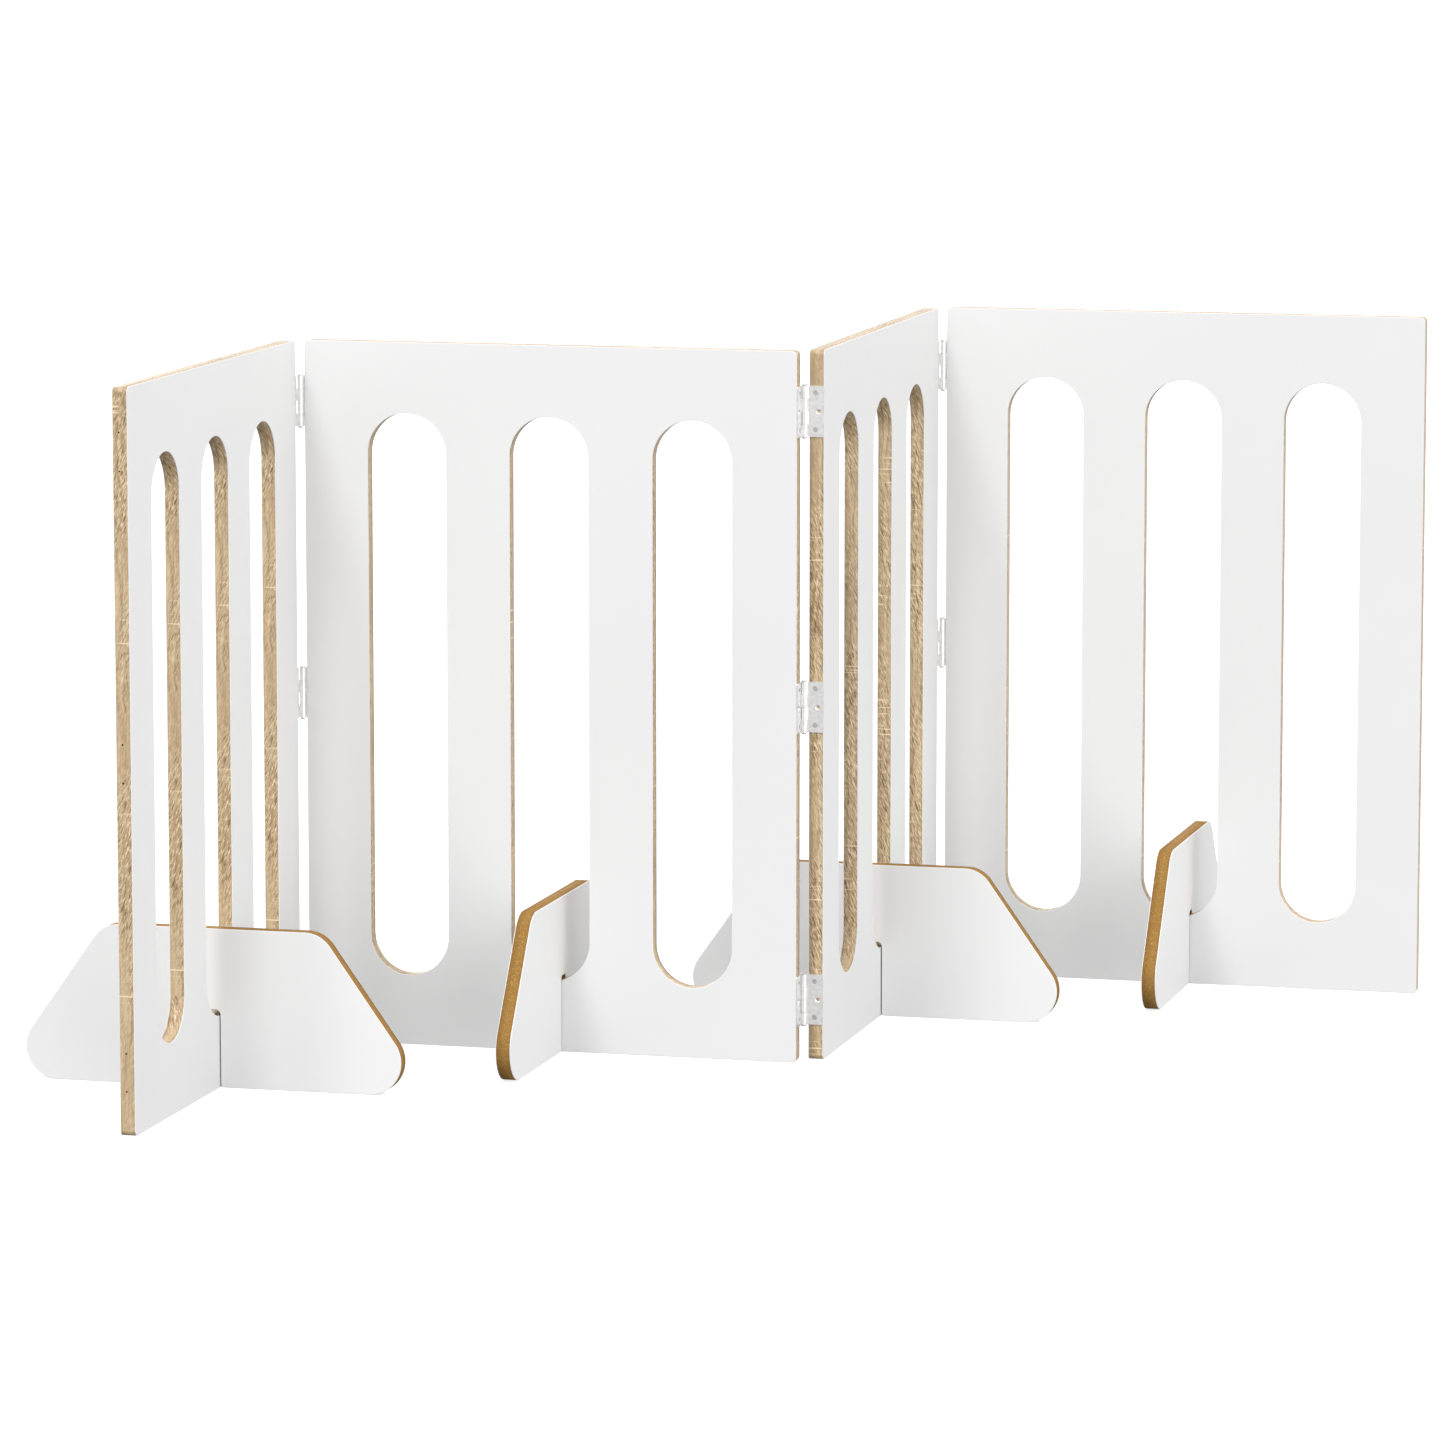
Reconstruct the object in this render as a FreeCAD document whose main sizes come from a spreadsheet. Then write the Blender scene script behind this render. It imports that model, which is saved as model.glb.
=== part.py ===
import FreeCAD, Part
import math
import os

import Sketcher

# Folding pet gate: four slotted panels in a zigzag, joined by three hinges at each of three
# corners, with a lift-off foot straddling the bottom rail of every panel.
# Millimetres, +Z up. Panels 2 and 4 run along X, panels 1 and 3 along Y. The origin is at floor
# level, in the middle of the box around the whole gate.

DIMENSIONS = (
    ("board_thickness", 15, "panel and foot boards"),
    ("edge_round", 0.5, "softened arris of every board"),
    ("panel_width", 500, "one panel"),
    ("panel_height", 700, "one panel"),
    ("corner_round", 5, "outer corners of a panel"),
    ("slot_width", 80, "opening with half-round ends"),
    ("slot_margin", 65, "bar beside a slot"),
    ("rail_height", 70, "rail above and below the slots"),
    ("slot_count", 3, "openings in a panel"),
    ("foot_base", 440, "foot outline along the floor, to its sharp corners"),
    ("foot_top", 220, "foot outline along its top, to its sharp corners"),
    ("foot_height", 155, "foot"),
    ("foot_low_round", 32, "lower corners of a foot"),
    ("foot_high_round", 30, "upper corners of a foot"),
    ("foot_shift", 4, "from the middle of a panel to the middle of its foot"),
    ("notch_width", 17, "notch that straddles the bottom rail"),
    ("notch_height", 76, "notch, from the floor"),
    ("notch_round", 5, "inner corners of the notch"),
    ("notch_mouth_round", 4, "lead-in at the floor"),
    ("hinge_low", 60, "middle of the lowest hinge above the floor"),
    ("hinge_pitch", 290, "from one hinge to the next"),
    ("hinge_count", 3, "hinges at each corner"),
    ("leaf_length", 50, "hinge leaf along its pin"),
    ("leaf_thickness", 1.2, "rolled sheet"),
    ("leaf_reach", 19, "from the pin axis to the free edge of the leaf"),
    ("leaf_corner_round", 0.8, "free corners of a leaf"),
    ("barrel_radius", 3, "outside of a knuckle, and from the pin axis to the board's edge"),
    ("curl_slit", 0.3, "between the rolled end of a knuckle and its leaf"),
    ("knuckle_count", 4, "knuckles of a hinge, shared by its two leaves"),
    ("knuckle_gap", 0.3, "between neighbouring knuckles"),
    ("root_clearance", 0.4, "from a knuckle to the root of the opposite leaf"),
    ("pin_stand_off", 4, "from the panel's face to the pin axis"),
    ("pin_radius", 1.77, "hinge pin, with 0.03 running clearance"),
    ("pin_head_radius", 2.6, "rivet head at each end of the pin"),
    ("pin_head_height", 1.4, "rivet head"),
    ("pin_head_gap", 0.1, "from the head to the first knuckle"),
    ("pin_head_round", 0.9, "rim of the rivet head"),
    ("screw_spacing", 36, "outer screw holes of a leaf"),
    ("screw_inset", 6.5, "from the pin side of the board to the outer screws"),
    ("spare_inset", 9.5, "from the pin side of the board to the middle hole"),
    ("screw_hole_radius", 1.45, "hole through a leaf"),
    ("countersink", 1.15, "depth and width of the countersink"),
    ("screw_head_radius", 2.5, "countersunk head"),
    ("screw_head_sink", 0.06, "head below the face of the leaf"),
    ("shank_radius", 1.3, "screw shank"),
    ("screw_length", 16, "screw"),
    ("screw_tip", 3, "conical tip of the screw"),
    ("recess_reach", 1.5, "half length of the cross recess"),
    ("recess_half_width", 0.35, "half width of one arm of the recess"),
    ("recess_depth", 0.9, "cross recess"),
    ("cut_overshoot", 1, "how far a cut starts outside the sheet"),
    ("pilot_radius", 1.4, "hole in the board for a screw"),
    ("pilot_depth", 18, "hole in the board for a screw"),
    ("free_pilot_radius", 1, "pilot hole in the two outer edges, for another gate"),
)

# Each corner: its name, the panel and side with the upright leaf, the panel and side with the
# turned leaf, and the face of the panels that the pin stands at.
CORNERS = (
    ("12", (2, "left"), (1, "right"), "front"),
    ("23", (2, "right"), (3, "left"), "back"),
    ("34", (4, "left"), (3, "right"), "front"),
)
HINGE_LEVELS = ("bottom", "middle", "top")
# The outer edges of the row of panels, with the face that their pilot holes are measured from.
FREE_EDGES = ((1, "left", "back"), (4, "right", "back"))
# How far a measured position may be off, and how straight a parallel edge must be.
TOLERANCE = 1e-4
PARALLEL = 0.999
FULL_TURN = 360
X_AXIS = FreeCAD.Vector(1, 0, 0)
Y_AXIS = FreeCAD.Vector(0, 1, 0)
Z_AXIS = FreeCAD.Vector(0, 0, 1)

doc = FreeCAD.newDocument("pet_gate")
dims = doc.addObject("Spreadsheet::Sheet", "dims")
for row, (alias, amount, meaning) in enumerate(DIMENSIONS, start=1):
    dims.set(f"A{row}", meaning)
    dims.set(f"B{row}", str(amount))
    dims.setAlias(f"B{row}", alias)
doc.recompute()

sub_parts = []


def value(expression):
    """Number that an expression of sheet cells comes to."""
    return float(dims.evalExpression(expression))


# ---------------------------------------------------------------- sketch and feature helpers

def new_body(label):
    body = doc.addObject("PartDesign::Body", label)
    body.Label = label
    return body


def origin_feature(body, role):
    return next(feature for feature in body.Origin.OriginFeatures if feature.Role == role)


def new_sketch(body, name, plane, offset=None):
    """Sketch on one of the body's own planes, moved along its normal by an expression."""
    sketch = body.newObject("Sketcher::SketchObject", name)
    sketch.AttachmentSupport = [(origin_feature(body, plane), "")]
    sketch.MapMode = "FlatFace"
    if offset:
        sketch.setExpression("AttachmentOffset.Base.z", offset)
    return sketch


def dimension(sketch, kind, reference, expression):
    """Dimensional constraint bound to an expression of sheet cells."""
    index = sketch.addConstraint(Sketcher.Constraint(kind, *reference, value(expression)))
    sketch.setExpression(f"Constraints[{index}]", expression)


def locate(sketch, geometry, point, corner):
    """Fix one point of the geometry at two expressions, measured from the sketch's origin."""
    for kind, axis, expression in (("DistanceX", -2, corner[0]), ("DistanceY", -1, corner[1])):
        if expression == "0":
            sketch.addConstraint(Sketcher.Constraint("PointOnObject", geometry, point, axis))
        else:
            dimension(sketch, kind, (-1, 1, geometry, point), expression)


def polygon(sketch, corners):
    """Closed outline whose corners stand at the given pairs of expressions."""
    points = [FreeCAD.Vector(value(x), value(y), 0) for x, y in corners]
    ends = points[1:] + points[:1]
    lines = [sketch.addGeometry(Part.LineSegment(a, b)) for a, b in zip(points, ends)]
    for line, following in zip(lines, lines[1:] + lines[:1]):
        sketch.addConstraint(Sketcher.Constraint("Coincident", line, 2, following, 1))
    for line, corner in zip(lines, corners):
        locate(sketch, line, 1, corner)


def rectangle(sketch, left, bottom, right, top):
    polygon(sketch, ((left, bottom), (right, bottom), (right, top), (left, top)))


def circle(sketch, x, y, radius):
    centre = FreeCAD.Vector(value(x), value(y), 0)
    index = sketch.addGeometry(Part.Circle(centre, Z_AXIS, value(radius)))
    dimension(sketch, "Radius", (index,), radius)
    locate(sketch, index, 3, (x, y))


def half_circle(sketch, x, y, radius, start):
    centre = FreeCAD.Vector(value(x), value(y), 0)
    full = Part.Circle(centre, Z_AXIS, value(radius))
    return sketch.addGeometry(Part.ArcOfCircle(full, start, start + math.pi))


def stadium(sketch, x, bottom, top, radius):
    """Upright slot with half-round ends."""
    low_centre = f"{bottom} + {radius}"
    high_centre = f"{top} - {radius}"
    low = half_circle(sketch, x, low_centre, radius, math.pi)
    high = half_circle(sketch, x, high_centre, radius, 0)
    sides = []
    for edge in (f"{x} + {radius}", f"{x} - {radius}"):
        foot = FreeCAD.Vector(value(edge), value(low_centre), 0)
        head = FreeCAD.Vector(value(edge), value(high_centre), 0)
        sides.append(sketch.addGeometry(Part.LineSegment(foot, head)))
    right, left = sides
    for arc, arc_end, side, side_end in ((low, 2, right, 1), (high, 1, right, 2),
                                         (high, 2, left, 2), (low, 1, left, 1)):
        sketch.addConstraint(Sketcher.Constraint("Tangent", arc, arc_end, side, side_end))
    sketch.addConstraint(Sketcher.Constraint("Vertical", right))
    sketch.addConstraint(Sketcher.Constraint("Vertical", left))
    dimension(sketch, "Radius", (low,), radius)
    locate(sketch, low, 3, (x, low_centre))
    dimension(sketch, "DistanceY", (-1, 1, high, 3), high_centre)


def pad(body, name, sketch, length, symmetric=False, backwards=False):
    feature = body.newObject("PartDesign::Pad", name)
    feature.Profile = sketch
    feature.setExpression("Length", length)
    feature.SideType = "Symmetric" if symmetric else "One side"
    feature.Reversed = backwards
    doc.recompute()
    return feature


def pocket(body, name, sketch, length=None, both_ways=False, backwards=False):
    """Cut that is checked to remove material."""
    before = body.Shape.Volume
    feature = body.newObject("PartDesign::Pocket", name)
    feature.Profile = sketch
    if length:
        feature.setExpression("Length", length)
    else:
        feature.Type = "ThroughAll"
    feature.SideType = "Symmetric" if both_ways else "One side"
    feature.Reversed = backwards
    doc.recompute()
    if body.Shape.Volume >= before:
        raise RuntimeError(f"{body.Label}: {name} cuts nothing")
    return feature


def pattern(body, name, originals, axis, pitch, count):
    """Row of copies along one of the body's axes; count is an expression too."""
    feature = body.newObject("PartDesign::LinearPattern", name)
    feature.Originals = originals
    feature.Direction = (origin_feature(body, axis), [""])
    feature.Mode = "Spacing"
    feature.setExpression("Offset", pitch)
    feature.setExpression("Occurrences", count)
    body.Tip = feature
    doc.recompute()
    return feature


def soften(body, name, radius, wanted):
    """Fillet on every edge of the body that the given test accepts."""
    base = body.Tip
    names = [f"Edge{k}" for k, edge in enumerate(base.Shape.Edges, start=1) if wanted(edge)]
    if not names:
        raise RuntimeError(f"{body.Label}: {name} finds no edge")
    feature = body.newObject("PartDesign::Fillet", name)
    feature.Base = (base, names)
    feature.setExpression("Radius", radius)
    doc.recompute()
    return feature


def lies_across(edge, axis, position):
    """True for an edge that lies wholly in the plane at that position along an axis."""
    box = edge.BoundBox
    low, high = ((box.XMin, box.XMax), (box.YMin, box.YMax), (box.ZMin, box.ZMax))[axis]
    return abs(low - position) < TOLERANCE and abs(high - position) < TOLERANCE


def straight_along(edge, direction):
    if not isinstance(edge.Curve, Part.Line):
        return False
    return abs(edge.Curve.Direction.dot(direction)) > PARALLEL


def keep(body, placement):
    """Put a finished sub-part in its place and list it for export."""
    body.Placement = placement
    sub_parts.append(body)


# ---------------------------------------------------------------- where everything stands

THICKNESS = value("dims.board_thickness")
WIDTH = value("dims.panel_width")
STAND_OFF = value("dims.pin_stand_off")
PIN_TO_EDGE = value("dims.barrel_radius")
LEVEL_HEIGHTS = [value(f"dims.hinge_low + {k} * dims.hinge_pitch")
                 for k in range(len(HINGE_LEVELS))]


def local_pin(side, face):
    """Pin axis in a panel's own frame: x from its left edge, y from its front face."""
    x = -PIN_TO_EDGE if side == "left" else WIDTH + PIN_TO_EDGE
    y = -STAND_OFF if face == "front" else THICKNESS + STAND_OFF
    return FreeCAD.Vector(x, y, 0)


def stand_panels():
    """Placements of the four panels: a zigzag with square corners, each hung on the last."""
    along_x = FreeCAD.Rotation(Z_AXIS, 0)
    along_y = FreeCAD.Rotation(Z_AXIS, 90)
    turns = {1: along_y, 2: along_x, 3: along_y, 4: along_x}
    places = {2: FreeCAD.Placement(FreeCAD.Vector(), along_x)}
    for _, upright, turned, face in CORNERS:
        known, new = (upright, turned) if upright[0] in places else (turned, upright)
        axis = places[known[0]].multVec(local_pin(known[1], face))
        offset = turns[new[0]].multVec(local_pin(new[1], face))
        places[new[0]] = FreeCAD.Placement(axis - offset, turns[new[0]])
    return places


def centre_on_origin(places):
    """Move the panels so that the box around them and their feet stands on the origin."""
    reach = foot_half_length()
    corners = []
    for place in places.values():
        corners += [place.multVec(FreeCAD.Vector(x, 0, 0)) for x in (0, WIDTH)]
        middle = foot_middle()
        corners += [place.multVec(middle + Y_AXIS * end) for end in (-reach, reach)]
        corners += [place.multVec(FreeCAD.Vector(x, THICKNESS, 0)) for x in (0, WIDTH)]
    xs = [corner.x for corner in corners]
    ys = [corner.y for corner in corners]
    shift = FreeCAD.Vector((min(xs) + max(xs)) / 2, (min(ys) + max(ys)) / 2, 0)
    return {n: FreeCAD.Placement(place.Base - shift, place.Rotation) for n, place in places.items()}


def foot_middle():
    """Middle of a foot at floor level, in its panel's frame."""
    return FreeCAD.Vector(WIDTH / 2 + value("dims.foot_shift"), THICKNESS / 2, 0)


def foot_half_length():
    """Half of the foot's real length, to where its rounded lower corner reaches furthest."""
    lean = value("(dims.foot_base - dims.foot_top) / 2 / dims.foot_height")
    slope = (1 + lean ** 2) ** 0.5
    radius = value("dims.foot_low_round")
    return value("dims.foot_base / 2") - radius * (slope + lean - 1)


# ---------------------------------------------------------------- panels

def drill_edge(body, number, side, face, radius):
    """Two pilot holes at every hinge level, in one upright edge of a panel."""
    inset = "dims.screw_inset" if face == "front" else "dims.board_thickness - dims.screw_inset"
    edge = "dims.panel_width" if side == "right" else None
    sketch = new_sketch(body, f"panel_{number}_{side}_pilots", "YZ_Plane", edge)
    for sign in ("-", "+"):
        circle(sketch, inset, f"dims.hinge_low {sign} dims.screw_spacing / 2", radius)
    holes = pocket(body, f"panel_{number}_{side}_pilot_pair", sketch, "dims.pilot_depth",
                   backwards=side == "left")
    pattern(body, f"panel_{number}_{side}_pilot_row", [holes], "Z_Axis",
            "dims.hinge_pitch", "dims.hinge_count")


def make_panel(number, placement):
    label = f"panel_{number}"
    body = new_body(label)
    outline = new_sketch(body, f"{label}_outline", "XZ_Plane")
    rectangle(outline, "0", "0", "dims.panel_width", "dims.panel_height")
    pad(body, f"{label}_board", outline, "dims.board_thickness", backwards=True)
    soften(body, f"{label}_corners", "dims.corner_round",
           lambda edge: straight_along(edge, Y_AXIS))
    opening = new_sketch(body, f"{label}_opening", "XZ_Plane")
    stadium(opening, "dims.slot_margin + dims.slot_width / 2", "dims.rail_height",
            "dims.panel_height - dims.rail_height", "dims.slot_width / 2")
    slot = pocket(body, f"{label}_slot", opening, both_ways=True)
    pattern(body, f"{label}_slots", [slot], "X_Axis",
            "dims.slot_margin + dims.slot_width", "dims.slot_count")
    for _, upright, turned, face in CORNERS:
        for panel, side in (upright, turned):
            if panel == number:
                drill_edge(body, number, side, face, "dims.pilot_radius")
    for panel, side, face in FREE_EDGES:
        if panel == number:
            drill_edge(body, number, side, face, "dims.free_pilot_radius")
    soften(body, f"{label}_arris", "dims.edge_round",
           lambda edge: lies_across(edge, 1, 0) or lies_across(edge, 1, THICKNESS))
    keep(body, placement)


# ---------------------------------------------------------------- feet

def make_foot(number, panel_placement):
    label = f"foot_{number}"
    body = new_body(label)
    outline = new_sketch(body, f"{label}_outline", "YZ_Plane")
    base = "dims.foot_base / 2"
    top = "dims.foot_top / 2"
    polygon(outline, ((f"-{base}", "0"), (base, "0"), (top, "dims.foot_height"),
                      (f"-{top}", "dims.foot_height")))
    pad(body, f"{label}_board", outline, "dims.board_thickness", symmetric=True)
    soften(body, f"{label}_low_corners", "dims.foot_low_round",
           lambda edge: straight_along(edge, X_AXIS) and edge.BoundBox.ZMax < TOLERANCE)
    soften(body, f"{label}_high_corners", "dims.foot_high_round",
           lambda edge: straight_along(edge, X_AXIS) and is_upper_corner(edge))
    notch = new_sketch(body, f"{label}_notch", "YZ_Plane")
    rectangle(notch, "-dims.notch_width / 2", "-dims.notch_round",
              "dims.notch_width / 2", "dims.notch_height")
    pocket(body, f"{label}_straddle", notch, both_ways=True)
    half = value("dims.notch_width / 2")
    soften(body, f"{label}_notch_corners", "dims.notch_round",
           lambda edge: straight_along(edge, X_AXIS) and near(edge, half, "dims.notch_height"))
    soften(body, f"{label}_notch_mouth", "dims.notch_mouth_round",
           lambda edge: straight_along(edge, X_AXIS) and near(edge, half, "0"))
    soften(body, f"{label}_arris", "dims.edge_round",
           lambda edge: lies_across(edge, 0, THICKNESS / 2) or lies_across(edge, 0, -THICKNESS / 2))
    keep(body, panel_placement.multiply(FreeCAD.Placement(foot_middle(), FreeCAD.Rotation())))


def is_upper_corner(edge):
    """Sharp upper corner of a foot, before it is rounded."""
    at_top = abs(edge.BoundBox.ZMin - value("dims.foot_height")) < TOLERANCE
    return at_top and abs(abs(edge.BoundBox.YMin) - value("dims.foot_top / 2")) < TOLERANCE


def near(edge, half_width, height):
    """True for an edge across the foot at this distance either side of its middle."""
    box = edge.BoundBox
    at_side = abs(abs(box.YMin) - half_width) < TOLERANCE
    return at_side and abs(box.ZMin - value(height)) < TOLERANCE


# ---------------------------------------------------------------- hinges

def rolled_profile(sketch):
    """Leaf in cross-section: flat sheet, rolled round the pin and stopping short of itself."""
    outer = "dims.barrel_radius"
    inner = "dims.barrel_radius - dims.leaf_thickness"
    reach = "dims.leaf_reach"
    slit_level = f"-({inner} - dims.curl_slit)"
    radius, bore = value(outer), value(inner)
    end = FreeCAD.Vector((radius ** 2 - value(slit_level) ** 2) ** 0.5, value(slit_level), 0)
    start_angle = -FreeCAD.Vector(1, 0, 0).getAngle(end)
    down = 1.5 * math.pi
    centre = FreeCAD.Vector()
    tip = value(reach)

    wood_face = Part.LineSegment(FreeCAD.Vector(tip, -radius, 0), FreeCAD.Vector(0, -radius, 0))
    outside = Part.ArcOfCircle(Part.Circle(centre, Z_AXIS, radius), start_angle, down)
    roll_end = Part.LineSegment(end, end * (bore / radius))
    inside = Part.ArcOfCircle(Part.Circle(centre, Z_AXIS, bore), start_angle, down)
    pin_face = Part.LineSegment(FreeCAD.Vector(0, -bore, 0), FreeCAD.Vector(tip, -bore, 0))
    free_edge = Part.LineSegment(FreeCAD.Vector(tip, -bore, 0), FreeCAD.Vector(tip, -radius, 0))
    pieces = (wood_face, outside, roll_end, inside, pin_face, free_edge)
    wood, out, roll, bored, face, free = [sketch.addGeometry(piece) for piece in pieces]

    for first, first_end, second, second_end in ((wood, 2, out, 2), (out, 1, roll, 1),
                                                 (roll, 2, bored, 1), (bored, 2, face, 1),
                                                 (face, 2, free, 1), (free, 2, wood, 1)):
        sketch.addConstraint(
            Sketcher.Constraint("Coincident", first, first_end, second, second_end))
    for arc, size in ((out, outer), (bored, inner)):
        sketch.addConstraint(Sketcher.Constraint("Coincident", arc, 3, -1, 1))
        sketch.addConstraint(Sketcher.Constraint("PointOnObject", arc, 2, -2))
        dimension(sketch, "Radius", (arc,), size)
    for line in (wood, face):
        sketch.addConstraint(Sketcher.Constraint("Horizontal", line))
    sketch.addConstraint(Sketcher.Constraint("Vertical", free))
    sketch.addConstraint(Sketcher.Constraint("PointOnObject", -1, 1, roll))
    dimension(sketch, "DistanceX", (-1, 1, free, 1), reach)
    dimension(sketch, "DistanceY", (-1, 1, out, 1), slit_level)


def make_leaf(label, placement):
    """Hinge leaf about its pin axis; it has the first and third knuckle from its upper end."""
    body = new_body(label)
    section = new_sketch(body, f"{label}_section", "XY_Plane")
    rolled_profile(section)
    pad(body, f"{label}_sheet", section, "dims.leaf_length", symmetric=True)

    knuckle = "dims.leaf_length / dims.knuckle_count"
    gaps = new_sketch(body, f"{label}_gaps", "XZ_Plane")
    left = "-dims.barrel_radius - dims.cut_overshoot"
    right = "dims.barrel_radius + dims.root_clearance"
    rectangle(gaps, left, "-dims.leaf_length / 2 - dims.cut_overshoot", right,
              f"-{knuckle} + dims.knuckle_gap / 2")
    rectangle(gaps, left, "-dims.knuckle_gap / 2", right, f"{knuckle} + dims.knuckle_gap / 2")
    pocket(body, f"{label}_knuckle_gaps", gaps, both_ways=True)

    holes = new_sketch(body, f"{label}_holes", "XZ_Plane")
    outer_x = "dims.pin_stand_off + dims.screw_inset"
    for sign in ("", "-"):
        circle(holes, outer_x, f"{sign}dims.screw_spacing / 2", "dims.screw_hole_radius")
    circle(holes, "dims.pin_stand_off + dims.spare_inset", "0", "dims.screw_hole_radius")
    pocket(body, f"{label}_screw_holes", holes, both_ways=True)
    pin_face = -value("dims.barrel_radius - dims.leaf_thickness")
    countersink(body, f"{label}_countersinks",
                lambda edge: lies_across(edge, 1, pin_face) and is_round(edge))
    tip = value("dims.leaf_reach")
    half = value("dims.leaf_length / 2")
    soften(body, f"{label}_corners", "dims.leaf_corner_round",
           lambda edge: straight_along(edge, Y_AXIS) and lies_across(edge, 0, tip)
           and abs(abs(edge.BoundBox.ZMin) - half) < TOLERANCE)
    keep(body, placement)


def is_round(edge):
    return isinstance(edge.Curve, Part.Circle)


def countersink(body, name, wanted):
    base = body.Tip
    names = [f"Edge{k}" for k, edge in enumerate(base.Shape.Edges, start=1) if wanted(edge)]
    feature = body.newObject("PartDesign::Chamfer", name)
    feature.Base = (base, names)
    feature.setExpression("Size", "dims.countersink")
    doc.recompute()


def make_pin(label, placement):
    """Hinge pin with a rivet head at each end."""
    body = new_body(label)
    profile = new_sketch(body, f"{label}_profile", "XZ_Plane")
    neck = "dims.leaf_length / 2 + dims.pin_head_gap"
    end = f"({neck} + dims.pin_head_height)"
    neck = f"({neck})"
    polygon(profile, (("0", f"-{end}"), ("dims.pin_head_radius", f"-{end}"),
                      ("dims.pin_head_radius", f"-{neck}"), ("dims.pin_radius", f"-{neck}"),
                      ("dims.pin_radius", neck), ("dims.pin_head_radius", neck),
                      ("dims.pin_head_radius", end), ("0", end)))
    turn(body, f"{label}_turned", profile, "V_Axis")
    tip = value(end)
    soften(body, f"{label}_heads", "dims.pin_head_round",
           lambda edge: lies_across(edge, 2, tip) or lies_across(edge, 2, -tip))
    keep(body, placement)


def turn(body, name, sketch, axis):
    """Solid of revolution about one of the sketch's own axes."""
    feature = body.newObject("PartDesign::Revolution", name)
    feature.Profile = sketch
    feature.ReferenceAxis = (sketch, [axis])
    feature.Angle = FULL_TURN
    doc.recompute()
    return feature


def make_screws(label, placement):
    """The six cross-head screws of one panel edge; the first stands at the body's origin."""
    body = new_body(label)
    profile = new_sketch(body, f"{label}_profile", "XZ_Plane")
    cone_end = "dims.screw_head_radius - dims.shank_radius"
    polygon(profile, (("0", "0"), ("0", "dims.screw_head_radius"), (cone_end, "dims.shank_radius"),
                      ("dims.screw_length - dims.screw_tip", "dims.shank_radius"),
                      ("dims.screw_length", "0")))
    screw = turn(body, f"{label}_turned", profile, "H_Axis")
    recess = new_sketch(body, f"{label}_recess", "YZ_Plane")
    arm = "dims.recess_half_width"
    reach = "dims.recess_reach"
    polygon(recess, ((arm, arm), (arm, reach), (f"-{arm}", reach), (f"-{arm}", arm),
                     (f"-{reach}", arm), (f"-{reach}", f"-{arm}"), (f"-{arm}", f"-{arm}"),
                     (f"-{arm}", f"-{reach}"), (arm, f"-{reach}"), (arm, f"-{arm}"),
                     (reach, f"-{arm}"), (reach, arm)))
    cross = pocket(body, f"{label}_cross", recess, "dims.recess_depth", backwards=True)

    rows = body.newObject("PartDesign::MultiTransform", f"{label}_rows")
    rows.Originals = [screw, cross]
    steps = []
    for name, pitch, count in (("pair", "dims.screw_spacing", "2"),
                               ("levels", "dims.hinge_pitch", "dims.hinge_count")):
        step = doc.addObject("PartDesign::LinearPattern", f"{label}_{name}")
        step.Direction = (origin_feature(body, "Z_Axis"), [""])
        step.Mode = "Spacing"
        step.setExpression("Offset", pitch)
        step.setExpression("Occurrences", count)
        body.addObject(step)
        steps.append(step)
    rows.Transformations = steps
    body.Tip = rows
    doc.recompute()
    keep(body, placement)


def leaf_turn(side, face):
    """Leaf in its panel's frame: reaching across the board's edge, its wood side to the board.

    A leaf at the right of a front pin or the left of a back pin comes out upside down, which is
    what makes its knuckles mesh with those of the upright leaf.
    """
    across = Y_AXIS if face == "front" else -Y_AXIS
    away = -X_AXIS if side == "left" else X_AXIS
    return FreeCAD.Rotation(across, away, across.cross(away), "XYZ")


def hang_corner(name, upright, turned, face, places):
    """Three hinges and their screws at one corner."""
    for level, height in zip(HINGE_LEVELS, LEVEL_HEIGHTS):
        label = f"hinge_{name}_{level}"
        for panel, side in (upright, turned):
            axis = local_pin(side, face) + Z_AXIS * height
            place = FreeCAD.Placement(axis, leaf_turn(side, face))
            make_leaf(f"{label}_leaf_{panel}", places[panel].multiply(place))
        panel, side = upright
        axis = FreeCAD.Placement(local_pin(side, face) + Z_AXIS * height, FreeCAD.Rotation())
        make_pin(f"{label}_pin", places[panel].multiply(axis))
    for panel, side in (upright, turned):
        leaf = value("dims.leaf_thickness - dims.screw_head_sink")
        inset = value("dims.screw_inset")
        x = -leaf if side == "left" else WIDTH + leaf
        y = inset if face == "front" else THICKNESS - inset
        lowest = LEVEL_HEIGHTS[0] - value("dims.screw_spacing / 2")
        facing = FreeCAD.Rotation(Z_AXIS, 0 if side == "left" else 180)
        place = FreeCAD.Placement(FreeCAD.Vector(x, y, lowest), facing)
        make_screws(f"screws_panel_{panel}_{side}", places[panel].multiply(place))


# ---------------------------------------------------------------- build and write

def check_model():
    for item in doc.Objects:
        if "Invalid" in item.State or "Error" in item.State:
            raise RuntimeError(f"{item.Name} failed: {item.State}")
    for item in sub_parts:
        if item.Shape.isNull() or not item.Shape.isValid():
            raise RuntimeError(f"{item.Label} has no valid shape")


places = centre_on_origin(stand_panels())
for number, place in sorted(places.items()):
    make_panel(number, place)
    make_foot(number, place)
for name, upright, turned, face in CORNERS:
    hang_corner(name, upright, turned, face, places)
doc.recompute()
check_model()

os.makedirs("parts", exist_ok=True)
for item in sub_parts:
    item.Shape.exportStep(f"parts/{item.Label}.step")
    print(f"{item.Label}: {len(item.Shape.Solids)} solid, {item.Shape.Volume / 1000:.3f} cm3")
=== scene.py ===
"""Looks of the folding pet gate: laminated boards, oak edges, raw-edged feet and zinc hinges."""
import math

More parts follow.
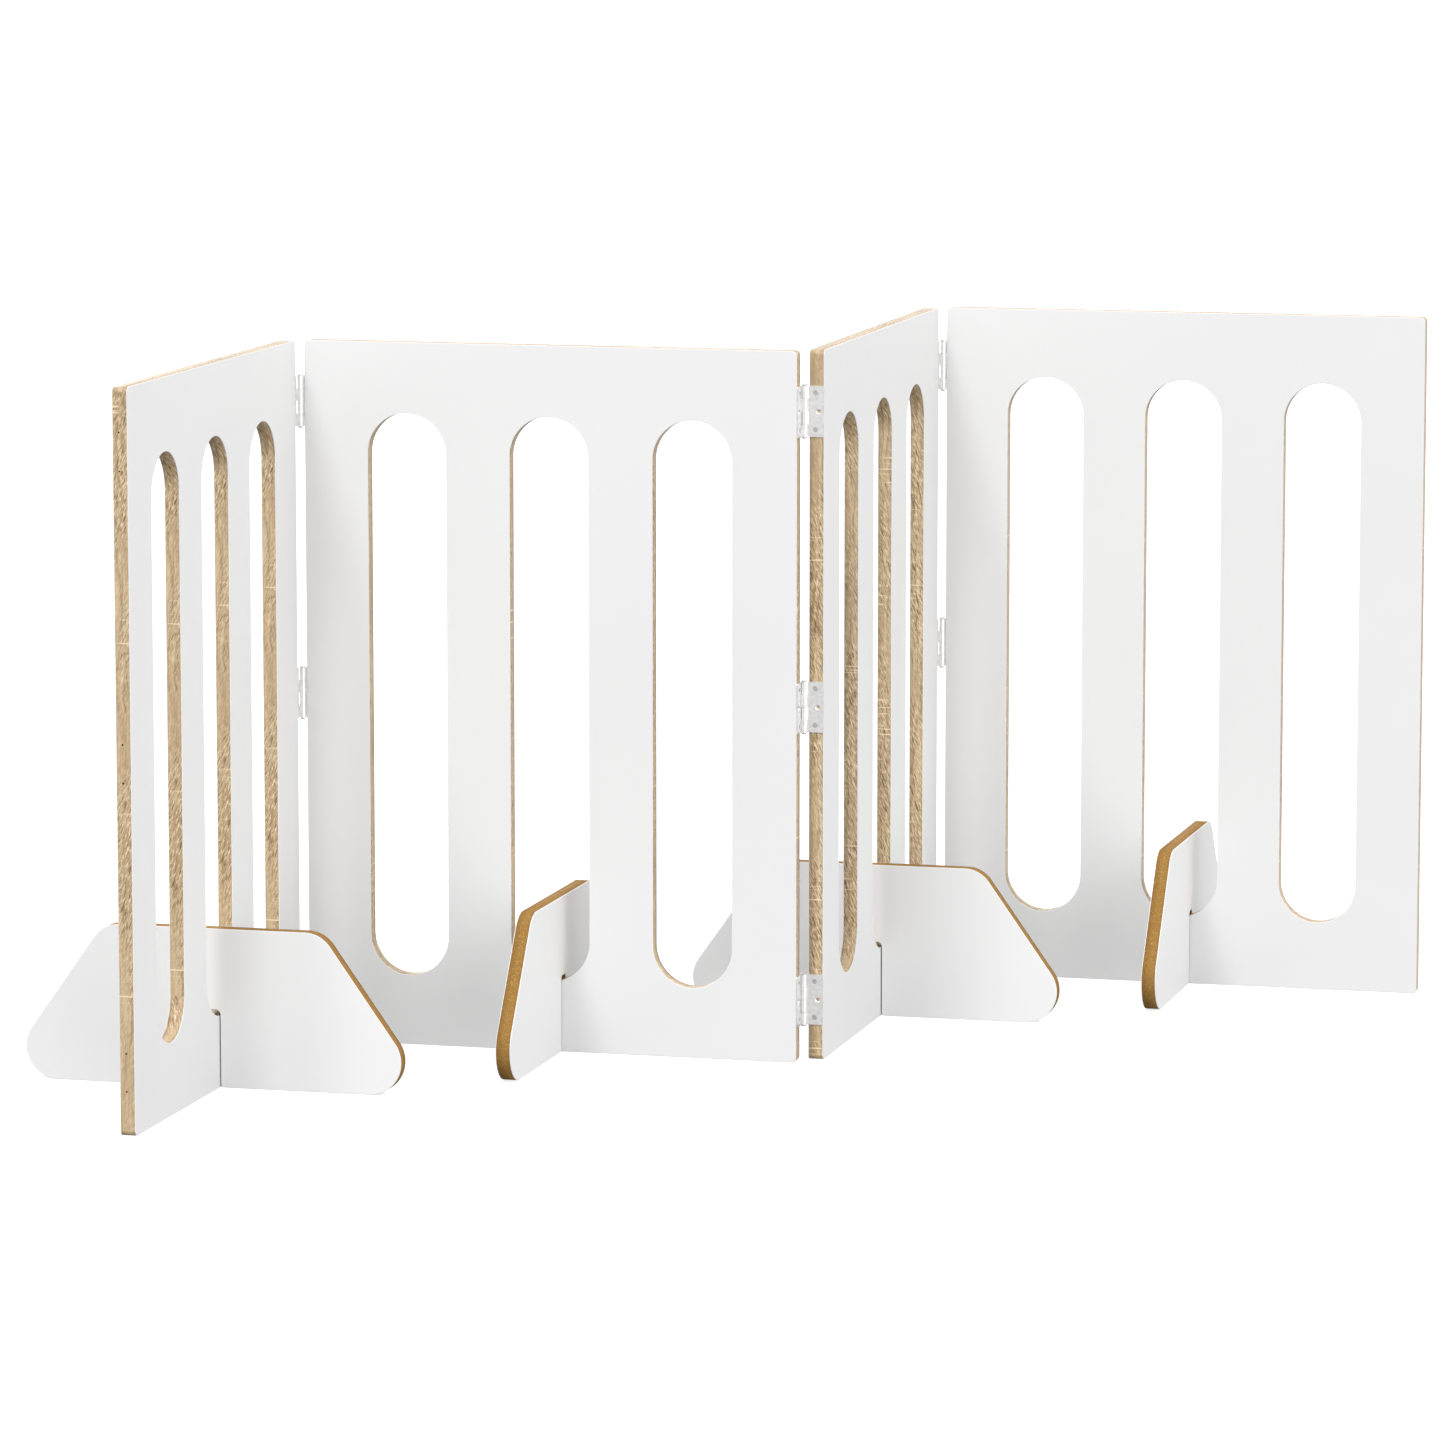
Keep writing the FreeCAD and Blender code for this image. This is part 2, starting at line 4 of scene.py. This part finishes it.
import bmesh
import bpy
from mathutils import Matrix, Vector


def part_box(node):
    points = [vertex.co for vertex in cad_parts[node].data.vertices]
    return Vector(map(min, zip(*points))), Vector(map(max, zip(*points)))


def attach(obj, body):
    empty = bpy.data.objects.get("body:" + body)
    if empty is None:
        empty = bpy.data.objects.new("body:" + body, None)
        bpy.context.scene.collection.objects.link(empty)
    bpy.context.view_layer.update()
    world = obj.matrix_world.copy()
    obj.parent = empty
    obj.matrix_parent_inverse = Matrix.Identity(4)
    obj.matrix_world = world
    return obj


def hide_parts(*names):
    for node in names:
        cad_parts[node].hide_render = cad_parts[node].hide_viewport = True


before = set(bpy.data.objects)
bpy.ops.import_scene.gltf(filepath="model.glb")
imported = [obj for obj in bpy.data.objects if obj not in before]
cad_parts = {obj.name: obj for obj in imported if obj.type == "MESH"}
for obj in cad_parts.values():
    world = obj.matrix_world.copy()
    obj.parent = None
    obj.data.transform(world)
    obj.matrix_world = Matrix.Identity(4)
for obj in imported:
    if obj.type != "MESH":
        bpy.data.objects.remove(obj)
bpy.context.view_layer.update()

# Boards, in metres
THICKNESS = 0.015
LAMINATE = 0.0007          # white sheet on each face of a board
ARRIS = 0.0005             # softened corner of the sheet
ARRIS_STEPS = 4
JOINT_LINE = 0.00005       # how far the board's core lies behind its sheets at the edge

# Panel outline
CORNER_RADIUS = 0.005
SLOT_WIDTH = 0.080
SLOT_MARGIN = 0.065
RAIL = 0.070
SLOT_COUNT = 3

# Foot outline
FOOT_BASE = 0.440
FOOT_TOP = 0.220
FOOT_HEIGHT = 0.155
FOOT_LOW_RADIUS = 0.032
FOOT_HIGH_RADIUS = 0.030
NOTCH_WIDTH = 0.017
NOTCH_HEIGHT = 0.076
NOTCH_RADIUS = 0.005
NOTCH_MOUTH_RADIUS = 0.004

# Pilot holes in the two outer edges of the gate
PILOT_RADIUS = 0.001
PILOT_DEPTH = 0.018
PILOT_INSET = 0.0085       # from the front face
PILOT_OVERSHOOT = 0.001    # how far the cutter stands out of the edge
PILOT_SIDES = 24
HINGE_HEIGHTS = (0.060, 0.350, 0.640)
SCREW_SPACING = 0.036

ARC_STEP = math.radians(4)
SAME_POINT = 1e-6          # points of an outline nearer than this are one
FACING = 0.999             # cosine above which a face looks straight out of an edge
PANELS = {1: "first", 2: "second", 3: "third", 4: "fourth"}


# ---------------------------------------------------------------- outlines

def rounded_outline(corners):
    """Points and outward normals of a polygon with rounded corners.

    corners are (x, y, radius), listed so that the solid lies on the left of the way round.
    """
    points = []
    count = len(corners)
    for k, (x, y, radius) in enumerate(corners):
        corner = Vector((x, y))
        before = (corner - Vector(corners[k - 1][:2])).normalized()
        after = (Vector(corners[(k + 1) % count][:2]) - corner).normalized()
        turn = math.atan2(before.cross(after), before.dot(after))
        tangent = radius * math.tan(abs(turn) / 2)
        side = math.copysign(1, turn)
        inward = Vector((-before.y, before.x)) * side
        start = corner - before * tangent
        centre = start + inward * radius
        steps = max(2, math.ceil(abs(turn) / ARC_STEP))
        for step in range(steps + 1):
            angle = turn * step / steps
            spoke = rotated(-inward, angle)
            points.append((centre + spoke * radius, spoke * side))
    return drop_repeats(points)


def rotated(vector, angle):
    cosine, sine = math.cos(angle), math.sin(angle)
    return Vector((vector.x * cosine - vector.y * sine, vector.x * sine + vector.y * cosine))


def drop_repeats(points):
    """The outline without points that lie on the one before."""
    kept = []
    for point, normal in points:
        if not kept or (point - kept[-1][0]).length > SAME_POINT:
            kept.append((point, normal))
    if (kept[0][0] - kept[-1][0]).length < SAME_POINT:
        kept.pop()
    return kept


def panel_loops(width, height):
    """The outline of a panel, then those of its slots from left to right."""
    outer = rounded_outline([(0, 0, CORNER_RADIUS), (width, 0, CORNER_RADIUS),
                             (width, height, CORNER_RADIUS), (0, height, CORNER_RADIUS)])
    loops = [outer]
    low, high = RAIL, height - RAIL
    radius = SLOT_WIDTH / 2
    for k in range(SLOT_COUNT):
        left = SLOT_MARGIN + k * (SLOT_MARGIN + SLOT_WIDTH)
        right = left + SLOT_WIDTH
        loops.append(rounded_outline([(left, low, radius), (left, high, radius),
                                      (right, high, radius), (right, low, radius)]))
    return loops


def foot_loops():
    """The outline of a foot, with its notch open at the bottom."""
    half_base, half_top, half_notch = FOOT_BASE / 2, FOOT_TOP / 2, NOTCH_WIDTH / 2
    return [rounded_outline([
        (-half_base, 0, FOOT_LOW_RADIUS), (-half_notch, 0, NOTCH_MOUTH_RADIUS),
        (-half_notch, NOTCH_HEIGHT, NOTCH_RADIUS), (half_notch, NOTCH_HEIGHT, NOTCH_RADIUS),
        (half_notch, 0, NOTCH_MOUTH_RADIUS), (half_base, 0, FOOT_LOW_RADIUS),
        (half_top, FOOT_HEIGHT, FOOT_HIGH_RADIUS), (-half_top, FOOT_HEIGHT, FOOT_HIGH_RADIUS)])]


# ---------------------------------------------------------------- board meshes

def sheet_profile(front):
    """(inset, depth) pairs across one laminate sheet, from its face to its joint with the core."""
    pairs = []
    for step in range(ARRIS_STEPS + 1):
        angle = math.radians(90) * step / ARRIS_STEPS
        pairs.append((ARRIS * (1 - math.sin(angle)), ARRIS * (1 - math.cos(angle))))
    pairs.append((0, LAMINATE))
    if front:
        return pairs
    return [(inset, THICKNESS - depth) for inset, depth in reversed(pairs)]


def core_profile():
    """(inset, depth) pairs of the board between the two sheets."""
    return [(JOINT_LINE, LAMINATE), (JOINT_LINE, THICKNESS - LAMINATE)]


def board_solid(bm, loops, profile, place, strip):
    """Closed plate with the given edge profile round every loop.

    place puts (x, y, depth) in the gate's frame, and strip keeps the distance round the edge and
    across it for the grain.
    """
    ends = ([], [])
    for number, loop in enumerate(loops):
        rings = []
        for inset, depth in profile:
            ring = []
            for point, normal in loop:
                x, y = point - normal * inset
                ring.append(bm.verts.new(place(x, y, depth)))
            rings.append(ring)
        lengths = [0.0]
        for (here, _), (there, _) in zip(loop, loop[1:] + loop[:1]):
            lengths.append(lengths[-1] + (there - here).length)
        for (near, far), (near_pair, far_pair) in zip(zip(rings, rings[1:]),
                                                      zip(profile, profile[1:])):
            for k in range(len(loop)):
                after = (k + 1) % len(loop)
                face = bm.faces.new((near[k], far[k], far[after], near[after]))
                face.smooth = True
                along = (lengths[k], lengths[k], lengths[k + 1], lengths[k + 1])
                across = (near_pair[1], far_pair[1], far_pair[1], near_pair[1])
                for corner, u, v in zip(face.loops, along, across):
                    corner[strip] = Vector((u, v, number))
        for end, ring in zip(ends, (rings[0], rings[-1])):
            end.extend(edges_of(bm, ring))
    for edges in ends:
        filled = bmesh.ops.triangle_fill(bm, edges=edges, use_beauty=True)
        for face in filled["geom"]:
            if isinstance(face, bmesh.types.BMFace):
                face.smooth = False


def edges_of(bm, ring):
    return [bm.edges.get((a, b)) for a, b in zip(ring, ring[1:] + ring[:1])]


def finish_mesh(bm, name, material, body):
    """Object made of a mesh, riding on a body."""
    bmesh.ops.recalc_face_normals(bm, faces=bm.faces)
    mesh = bpy.data.meshes.new(name)
    bm.to_mesh(mesh)
    bm.free()
    piece = bpy.data.objects.new(name, mesh)
    bpy.context.scene.collection.objects.link(piece)
    mesh.materials.append(material)
    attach(piece, body)
    return piece


def make_board(name, body, loops, place, face_material, core_material):
    """White laminate sheets on a core whose edge shows between them."""
    bm = bmesh.new()
    strip = bm.loops.layers.float_vector.new("strip")
    for front in (True, False):
        board_solid(bm, loops, sheet_profile(front), place, strip)
    sheets = finish_mesh(bm, f"{name}_laminate", face_material, body)
    bm = bmesh.new()
    strip = bm.loops.layers.float_vector.new("strip")
    board_solid(bm, loops, core_profile(), place, strip)
    core = finish_mesh(bm, f"{name}_core", core_material, body)
    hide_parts(name)
    return core


def board_frame(number):
    """Front lower left corner of a panel, its direction, and its front-to-back direction."""
    low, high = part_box(f"panel_{number}")
    if high.x - low.x > high.y - low.y:
        return Vector((low.x, low.y, 0)), Vector((1, 0, 0)), Vector((0, 1, 0))
    return Vector((high.x, low.y, 0)), Vector((0, 1, 0)), Vector((-1, 0, 0))


def drill_pilots(core, start, back, inward):
    """Screw holes for another gate, in the outer edge that rises from start."""
    cutter = bmesh.new()
    turn = inward.to_track_quat("Z", "Y").to_matrix().to_4x4()
    for height in HINGE_HEIGHTS:
        for rise in (-SCREW_SPACING / 2, SCREW_SPACING / 2):
            mouth = start + back * PILOT_INSET + Vector((0, 0, height + rise))
            made = bmesh.ops.create_cone(cutter, cap_ends=True, segments=PILOT_SIDES,
                                         radius1=PILOT_RADIUS, radius2=PILOT_RADIUS,
                                         depth=PILOT_DEPTH)
            turn.translation = mouth + inward * (PILOT_DEPTH / 2 - PILOT_OVERSHOOT)
            bmesh.ops.transform(cutter, matrix=turn, verts=made["verts"])
    mesh = bpy.data.meshes.new("pilot_cutter")
    cutter.to_mesh(mesh)
    cutter.free()
    tool = bpy.data.objects.new("pilot_cutter", mesh)
    bpy.context.scene.collection.objects.link(tool)
    modifier = core.modifiers.new("pilots", "BOOLEAN")
    modifier.object = tool
    modifier.operation = "DIFFERENCE"
    modifier.solver = "EXACT"
    graph = bpy.context.evaluated_depsgraph_get()
    drilled = bpy.data.meshes.new_from_object(core.evaluated_get(graph))
    core.modifiers.clear()
    core.data = drilled
    bpy.data.objects.remove(tool)
    grain_on_side(drilled, start, back, inward)


def grain_on_side(mesh, start, back, inward):
    """Distance along and across a straight outer edge, for the corners of its drilled face."""
    strip = mesh.attributes["strip"].data
    for face in mesh.polygons:
        if face.normal.dot(inward) > -FACING:
            continue
        face.use_smooth = False
        for loop in face.loop_indices:
            offset = mesh.vertices[mesh.loops[loop].vertex_index].co - start
            strip[loop].vector = (offset.z, offset.dot(back), 0)


# ---------------------------------------------------------------- materials

def srgb(red, green, blue):
    """Linear colour from the 0 to 255 values of a screen colour."""
    def channel(value):
        value /= 255
        return value / 12.92 if value <= 0.04045 else ((value + 0.055) / 1.055) ** 2.4
    return (channel(red), channel(green), channel(blue), 1)


OAK_GRAIN = ((0.32, srgb(150, 124, 91)), (0.44, srgb(182, 158, 124)),
             (0.55, srgb(197, 173, 138)), (0.68, srgb(217, 195, 161)))
OAK_BAND = srgb(176, 151, 117)
OAK_DARK_FLECK = srgb(136, 106, 71)
OAK_BRIGHT_FLECK = srgb(240, 221, 187)
OAK_PORE = srgb(104, 76, 47)
OAK_FIBRE = srgb(150, 121, 84)
OAK_SAW_MARK = srgb(242, 222, 186)
FLECK_SLANT = 22           # degrees from the way of the strip
PORE_SLANT = 17
GRAIN_WANDER = 0.006       # how far the grain lines bend from straight
MDF_FIBRE = ((0.32, srgb(126, 91, 41)), (0.5, srgb(146, 109, 53)), (0.68, srgb(166, 130, 73)))
MDF_LAYER = srgb(152, 115, 57)
MDF_SPECK = srgb(118, 80, 34)
MDF_GLINT = srgb(205, 168, 104)
ZINC_MOTTLE = 0.86         # brightness of the darker spots
MIX_FACTOR, MIX_FIRST, MIX_SECOND, MIX_RESULT = 0, 6, 7, 2    # colour sockets of a mix node


class Recipe:
    """Node material under construction."""

    def __init__(self, name):
        self.material = bpy.data.materials.new(name)
        self.material.use_nodes = True
        self.tree = self.material.node_tree
        self.shader = self.tree.nodes["Principled BSDF"]

    def node(self, kind, inputs=None, **settings):
        """New node, with its inputs given by name or number and its settings by name."""
        made = self.tree.nodes.new(kind)
        for key, value in settings.items():
            setattr(made, key, value)
        for key, value in (inputs or {}).items():
            self.set(made.inputs[key], value)
        return made

    def set(self, socket, value):
        """Link a socket to another, or give it a value."""
        if isinstance(value, bpy.types.NodeSocket):
            self.tree.links.new(value, socket)
        else:
            socket.default_value = value

    def place(self):
        return self.node("ShaderNodeTexCoord").outputs["Object"]

    def strip(self):
        return self.node("ShaderNodeAttribute", attribute_name="strip").outputs["Vector"]

    def stretch(self, vector, scale):
        return self.node("ShaderNodeMapping", {"Vector": vector, "Scale": scale}).outputs[0]

    def slant(self, vector, degrees, scale):
        """Stretched coordinates whose grain runs at an angle to the strip."""
        turned = self.node("ShaderNodeVectorRotate", {"Vector": vector,
                                                      "Angle": math.radians(degrees)},
                           rotation_type="Z_AXIS").outputs[0]
        return self.stretch(turned, scale)

    def noise(self, vector, scale=1.0, detail=3.0, roughness=0.5):
        return self.node("ShaderNodeTexNoise",
                         {"Vector": vector, "Scale": scale, "Detail": detail,
                          "Roughness": roughness}).outputs["Fac"]

    def ramp(self, factor, *stops):
        """Colour ramp through (position, colour) stops."""
        made = self.node("ShaderNodeValToRGB", {"Fac": factor})
        elements = made.color_ramp.elements
        while len(elements) < len(stops):
            elements.new(0.5)
        for element, (position, colour) in zip(elements, stops):
            element.position = position
            element.color = colour
        return made.outputs["Color"]

    def range(self, factor, low, high, to_low=0.0, to_high=1.0):
        """factor from low to high, spread over to_low to to_high and held beyond."""
        return self.node("ShaderNodeMapRange",
                         {"Value": factor, "From Min": low, "From Max": high,
                          "To Min": to_low, "To Max": to_high}).outputs["Result"]

    def mix(self, factor, first, second):
        made = self.node("ShaderNodeMix", {MIX_FACTOR: factor}, data_type="RGBA")
        self.set(made.inputs[MIX_FIRST], first)
        self.set(made.inputs[MIX_SECOND], second)
        return made.outputs[MIX_RESULT]

    def multiply(self, first, second):
        return self.node("ShaderNodeMath", {0: first, 1: second}, operation="MULTIPLY").outputs[0]

    def bump(self, height, distance, strength):
        made = self.node("ShaderNodeBump",
                         {"Height": height, "Distance": distance, "Strength": strength})
        self.set(self.shader.inputs["Normal"], made.outputs[0])

    def finish(self, **inputs):
        for key, value in inputs.items():
            self.set(self.shader.inputs[key.replace("_", " ")], value)
        return self.material


def laminate(name, darkest, lightest):
    """White melamine face: faint orange-peel grain, a little unevenness in gloss and tone."""
    recipe = Recipe(name)
    place = recipe.place()
    tone = recipe.noise(place, scale=3.5, detail=4)
    colour = recipe.ramp(tone, (0.3, srgb(darkest, darkest, darkest)),
                         (0.7, srgb(lightest, lightest, lightest)))
    gloss = recipe.range(recipe.noise(place, scale=40, detail=5), 0.3, 0.7, 0.42, 0.5)
    recipe.bump(recipe.noise(place, scale=900, detail=2), 0.00002, 0.35)
    return recipe.finish(Base_Color=colour, Roughness=gloss, Specular_IOR_Level=0.35)


def oak():
    """Rustic oak strip: wavy grain along it, dark slanting pores, fine flecks and saw marks."""
    recipe = Recipe("oak_edge")
    strip = recipe.strip()

    # grain lines that wander a little, and broad darker bands
    wander = recipe.noise(recipe.stretch(strip, (14, 60, 2)), detail=2)
    drift = recipe.range(wander, 0.2, 0.8, -GRAIN_WANDER, GRAIN_WANDER)
    sideways = recipe.node("ShaderNodeCombineXYZ", {"Y": drift}).outputs[0]
    wavy = recipe.node("ShaderNodeVectorMath", {0: strip, 1: sideways},
                       operation="ADD").outputs[0]
    grain = recipe.noise(recipe.stretch(wavy, (11, 380, 3)), detail=4, roughness=0.6)
    colour = recipe.ramp(grain, *OAK_GRAIN)
    broad = recipe.noise(recipe.stretch(strip, (5, 30, 5)), detail=2)
    colour = recipe.mix(recipe.range(broad, 0.42, 0.68, 0, 0.45), colour, OAK_BAND)

    # slanting flecks and pores, strong in coarse stretches of the strip and faint elsewhere
    rustic = recipe.noise(recipe.stretch(strip, (6, 20, 17)), detail=1)
    coarse = recipe.range(rustic, 0.40, 0.54, 0.25, 1.0)
    flecks = recipe.noise(recipe.slant(strip, FLECK_SLANT, (135, 640, 7)), detail=3,
                          roughness=0.7)
    dark = recipe.multiply(recipe.range(flecks, 0.53, 0.61), coarse)
    colour = recipe.mix(recipe.multiply(dark, 0.9), colour, OAK_DARK_FLECK)
    bright = recipe.multiply(recipe.range(flecks, 0.46, 0.38), coarse)
    colour = recipe.mix(recipe.multiply(bright, 0.85), colour, OAK_BRIGHT_FLECK)
    pores = recipe.noise(recipe.slant(strip, PORE_SLANT, (62, 430, 9)), detail=1)
    open_pores = recipe.multiply(recipe.range(pores, 0.64, 0.68), coarse)
    colour = recipe.mix(recipe.multiply(open_pores, 0.85), colour, OAK_PORE)

    # fine fibres along the grain
    fibres = recipe.noise(recipe.stretch(wavy, (60, 3200, 4)), detail=2)
    colour = recipe.mix(recipe.range(fibres, 0.5, 0.7, 0, 0.35), colour, OAK_FIBRE)

    # pale saw marks across the strip, in patches
    saw = recipe.noise(recipe.stretch(strip, (360, 14, 11)), detail=1)
    patches = recipe.noise(recipe.stretch(strip, (12, 20, 13)), detail=1)
    marks = recipe.multiply(recipe.range(saw, 0.58, 0.66), recipe.range(patches, 0.55, 0.62))
    colour = recipe.mix(recipe.multiply(marks, 0.8), colour, OAK_SAW_MARK)

    gloss = recipe.range(grain, 0.3, 0.7, 0.38, 0.24)
    recipe.bump(flecks, -0.00006, 0.4)
    return recipe.finish(Base_Color=colour, Roughness=gloss, Specular_IOR_Level=0.5)


def mdf():
    """Raw board edge: golden brown pressed fibre with layers, dark specks and pale glints."""
    recipe = Recipe("mdf_edge")
    strip = recipe.strip()
    place = recipe.place()
    speckle = recipe.noise(place, scale=900, detail=3, roughness=0.7)
    colour = recipe.ramp(speckle, *MDF_FIBRE)
    layers = recipe.noise(recipe.stretch(strip, (10, 500, 3)), detail=3)
    colour = recipe.mix(recipe.range(layers, 0.4, 0.65, 0, 0.35), colour, MDF_LAYER)
    specks = recipe.noise(place, scale=420, detail=1)
    colour = recipe.mix(recipe.range(specks, 0.66, 0.74, 0, 0.5), colour, MDF_SPECK)
    glints = recipe.noise(place, scale=760, detail=1)
    colour = recipe.mix(recipe.range(glints, 0.63, 0.70, 0, 0.6), colour, MDF_GLINT)
    rough = recipe.range(speckle, 0.3, 0.7, 0.9, 0.75)
    recipe.bump(speckle, 0.0001, 0.5)
    return recipe.finish(Base_Color=colour, Roughness=rough, Specular_IOR_Level=0.2)


def zinc(name, colour, rough_low, rough_high):
    """Bright zinc plate: fine scratches along the part and a soft mottle."""
    recipe = Recipe(name)
    place = recipe.place()
    mottle = recipe.noise(place, scale=260, detail=4)
    scratches = recipe.noise(recipe.stretch(place, (2600, 2600, 60)), detail=3)
    darker = tuple(channel * ZINC_MOTTLE for channel in colour[:3]) + (1,)
    shade = recipe.ramp(mottle, (0.35, darker), (0.65, colour))
    rough = recipe.range(scratches, 0.3, 0.7, rough_low, rough_high)
    recipe.bump(scratches, 0.00002, 0.4)
    return recipe.finish(Base_Color=shade, Metallic=1.0, Roughness=rough)


MATERIALS = {
    "panel_face": laminate("panel_laminate", 224, 227),
    # same white melamine as the panels, painted lighter: brightened to make up for the shade the
    # feet get low down beside the panels
    "foot_face_painted_lighter": laminate("foot_laminate_painted_lighter", 231, 234),
    "oak": oak(),
    "mdf": mdf(),
    "leaf": zinc("hinge_zinc", srgb(248, 247, 246), 0.28, 0.38),
    "pin": zinc("pin_zinc", srgb(214, 214, 215), 0.24, 0.34),
    "screw": zinc("screw_zinc", srgb(206, 207, 210), 0.18, 0.28),
}


# ---------------------------------------------------------------- the gate

def make_panel(number):
    """White panel with oak edges; the gate's two outer edges have pilot holes."""
    start, along, back = board_frame(number)
    low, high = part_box(f"panel_{number}")
    width = (high - low).dot(along)

    def place(x, y, depth):
        return start + along * x + back * depth + Vector((0, 0, y))

    name = f"panel_{number}"
    core = make_board(name, f"{PANELS[number]}_panel", panel_loops(width, high.z), place,
                      MATERIALS["panel_face"], MATERIALS["oak"])
    if number == min(PANELS):
        drill_pilots(core, start, back, along)
    if number == max(PANELS):
        drill_pilots(core, start + along * width, back, -along)


def make_foot(number):
    """White foot with raw edges, across its panel."""
    low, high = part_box(f"foot_{number}")
    centre = Vector(((low.x + high.x) / 2, (low.y + high.y) / 2, low.z))
    _, along, back = board_frame(number)

    def place(x, y, depth):
        return centre + back * x + along * (depth - THICKNESS / 2) + Vector((0, 0, y))

    make_board(f"foot_{number}", f"{PANELS[number]}_foot", foot_loops(), place,
               MATERIALS["foot_face_painted_lighter"], MATERIALS["mdf"])


def dress_hardware():
    """Metal materials for the hinge leaves, pins and screws."""
    for name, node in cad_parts.items():
        kinds = [kind for kind in ("leaf", "pin", "screw") if kind in name]
        if kinds:
            node.data.materials.clear()
            node.data.materials.append(MATERIALS[kinds[0]])


for number in PANELS:
    make_panel(number)
    make_foot(number)
dress_hardware()


# ---------------------------------------------------------------- studio

FLOOR_REACH = 150
FLOOR_GREY = (0.46, 0.48)
FLOOR_ROUGHNESS = 0.9
FLOOR_GLOW = 0.75          # light from the floor itself, so that shadows on it stay faint
SKY_HIGH = 1.14            # brightness of the studio overhead, then underfoot
SKY_LOW = 0.1
SKY_FULL = 0.35            # rise of a direction at which it has its overhead brightness
SKY_FADED = -0.9           # rise at which it has faded to the one underfoot
BOX_TOWARDS = (0.88, -0.46, 0.1)    # a wide soft box to the right of the camera
BOX = 0.72
BOX_EDGE = 0.7             # cosine at which the soft box has faded out
BOX_FULL = 0.93            # cosine at which it has its full strength
KEY_TOWARDS = (-0.24, -0.66, 1.0)
KEY = 1.3
KEY_SPREAD = 14
FILL_TOWARDS = (1.0, -0.5, 0.84)
FILL = 0.3
FILL_SPREAD = 20
BACK_TOWARDS = (-0.6, 0.8, 0.15)    # low, so that it reaches only the backs of the boards
BACK = 0.9
BACK_SPREAD = 30
CAMERA_PLACE = (1.7494, -6.8045, 1.3248)
CAMERA_DROP = 8.147        # degrees below level
CAMERA_TURN = 14.537       # degrees to the left of +Y
SENSOR = 36
LENS = 178.16
NEAREST, FARTHEST = 0.1, 500


def floor():
    """Pale floor that glows a little, and throws no light back on the gate."""
    mesh = bpy.data.meshes.new("studio_floor")
    mesh.from_pydata([(-FLOOR_REACH, -FLOOR_REACH, 0), (FLOOR_REACH, -FLOOR_REACH, 0),
                      (FLOOR_REACH, FLOOR_REACH, 0), (-FLOOR_REACH, FLOOR_REACH, 0)], [],
                     [(0, 1, 2, 3)])
    plane = bpy.data.objects.new("studio_floor", mesh)
    bpy.context.scene.collection.objects.link(plane)
    plane.visible_diffuse = False
    plane.visible_glossy = False
    recipe = Recipe("studio_floor")
    tone = recipe.noise(recipe.place(), scale=0.6)
    darker, lighter = ((grey, grey, grey, 1) for grey in FLOOR_GREY)
    colour = recipe.ramp(tone, (0.3, darker), (0.7, lighter))
    mesh.materials.append(recipe.finish(Base_Color=colour, Roughness=FLOOR_ROUGHNESS,
                                        Emission_Color=(1, 1, 1, 1),
                                        Emission_Strength=FLOOR_GLOW))


def lamp(name, towards, strength, spread):
    """Distant soft light; towards points from the gate to the lamp."""
    data = bpy.data.lights.new(name, "SUN")
    data.energy = strength
    data.angle = math.radians(spread)
    made = bpy.data.objects.new(name, data)
    made.rotation_euler = Vector(towards).to_track_quat("Z", "Y").to_euler()
    bpy.context.scene.collection.objects.link(made)


def smooth_range(nodes, low, high, to_low, to_high):
    """Map range node that eases in and out."""
    made = nodes.new("ShaderNodeMapRange")
    made.interpolation_type = "SMOOTHSTEP"
    for name, value in (("From Min", low), ("From Max", high),
                        ("To Min", to_low), ("To Max", to_high)):
        made.inputs[name].default_value = value
    return made


def surroundings():
    """White studio, bright overhead and dim underfoot, with the soft box added."""
    world = bpy.data.worlds.new("studio")
    world.use_nodes = True
    nodes, links = world.node_tree.nodes, world.node_tree.links
    direction = nodes.new("ShaderNodeTexCoord").outputs["Generated"]
    parts = nodes.new("ShaderNodeSeparateXYZ")
    links.new(direction, parts.inputs[0])
    sky = smooth_range(nodes, SKY_FADED, SKY_FULL, SKY_LOW, SKY_HIGH)
    links.new(parts.outputs["Z"], sky.inputs["Value"])
    towards = nodes.new("ShaderNodeVectorMath")
    towards.operation = "DOT_PRODUCT"
    towards.inputs[1].default_value = BOX_TOWARDS
    links.new(direction, towards.inputs[0])
    box = smooth_range(nodes, BOX_EDGE, BOX_FULL, 0, BOX)
    links.new(towards.outputs["Value"], box.inputs["Value"])
    strength = nodes.new("ShaderNodeMath")
    links.new(sky.outputs["Result"], strength.inputs[0])
    links.new(box.outputs["Result"], strength.inputs[1])
    links.new(strength.outputs[0], nodes["Background"].inputs["Strength"])
    nodes["Background"].inputs["Color"].default_value = (1, 1, 1, 1)
    bpy.context.scene.world = world


def studio():
    """Surroundings, floor and lamps, with colours shown as they are."""
    bpy.context.scene.view_settings.view_transform = "Standard"
    surroundings()
    floor()
    lamp("key", KEY_TOWARDS, KEY, KEY_SPREAD)
    lamp("fill", FILL_TOWARDS, FILL, FILL_SPREAD)
    lamp("back", BACK_TOWARDS, BACK, BACK_SPREAD)


def camera():
    """Long lens, a little above the gate and to the right of its middle."""
    data = bpy.data.cameras.new("camera")
    data.sensor_width = SENSOR
    data.lens = LENS
    data.clip_start = NEAREST
    data.clip_end = FARTHEST
    eye = bpy.data.objects.new("camera", data)
    eye.location = CAMERA_PLACE
    eye.rotation_euler = (math.radians(90 - CAMERA_DROP), 0, math.radians(CAMERA_TURN))
    bpy.context.scene.collection.objects.link(eye)
    bpy.context.scene.camera = eye


studio()
camera()
